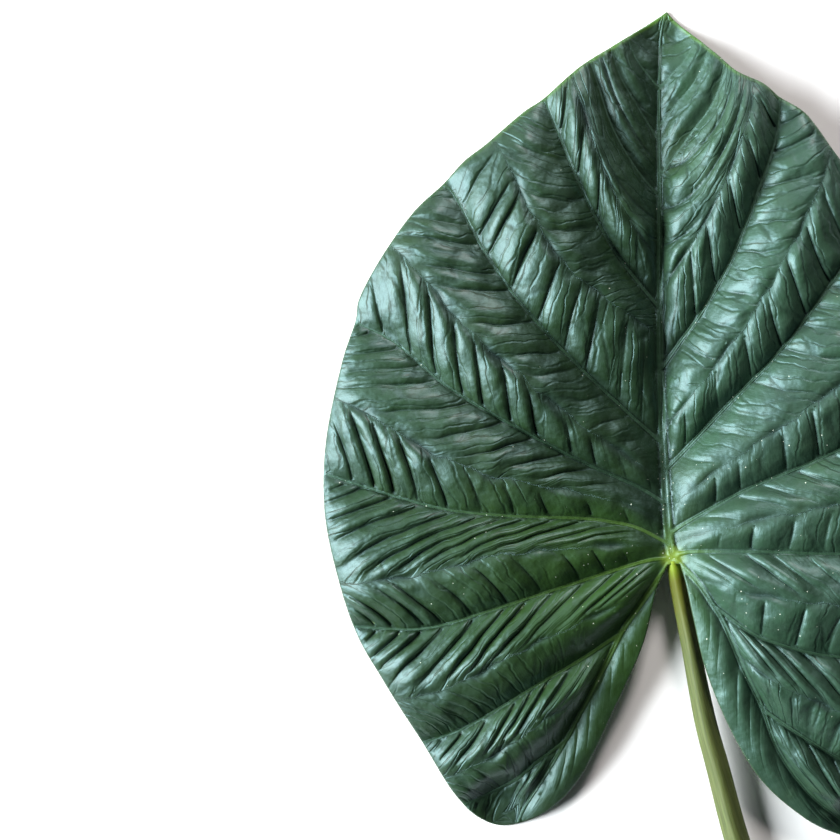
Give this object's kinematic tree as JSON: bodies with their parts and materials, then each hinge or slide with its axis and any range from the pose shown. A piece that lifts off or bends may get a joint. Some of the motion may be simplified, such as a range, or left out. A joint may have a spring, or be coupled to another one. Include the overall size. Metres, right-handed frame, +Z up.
{
  "type": "alocasia leaf",
  "caption": "A quilted heart-shaped elephant ear leaf with sunken veins, lying face up with its cut leaf stalk.",
  "frame": {"origin": "centre of the bounding box in plan, on the surface that the leaf lies on", "axes": "+Y from the cut end of the stalk to the blade's tip, +X to the right seen from above with the tip ahead, +Z up out of the blade's upper face"},
  "size_m": [0.21, 0.3036, 0.0234],
  "materials": {
    "leaf_blade": "satin, waxy",
    "petiole": "satin, waxy"
  },
  "bodies": {
    "root": {"leaf_blade": "leaf_blade", "petiole": "petiole"}
  },
  "joints": []
}
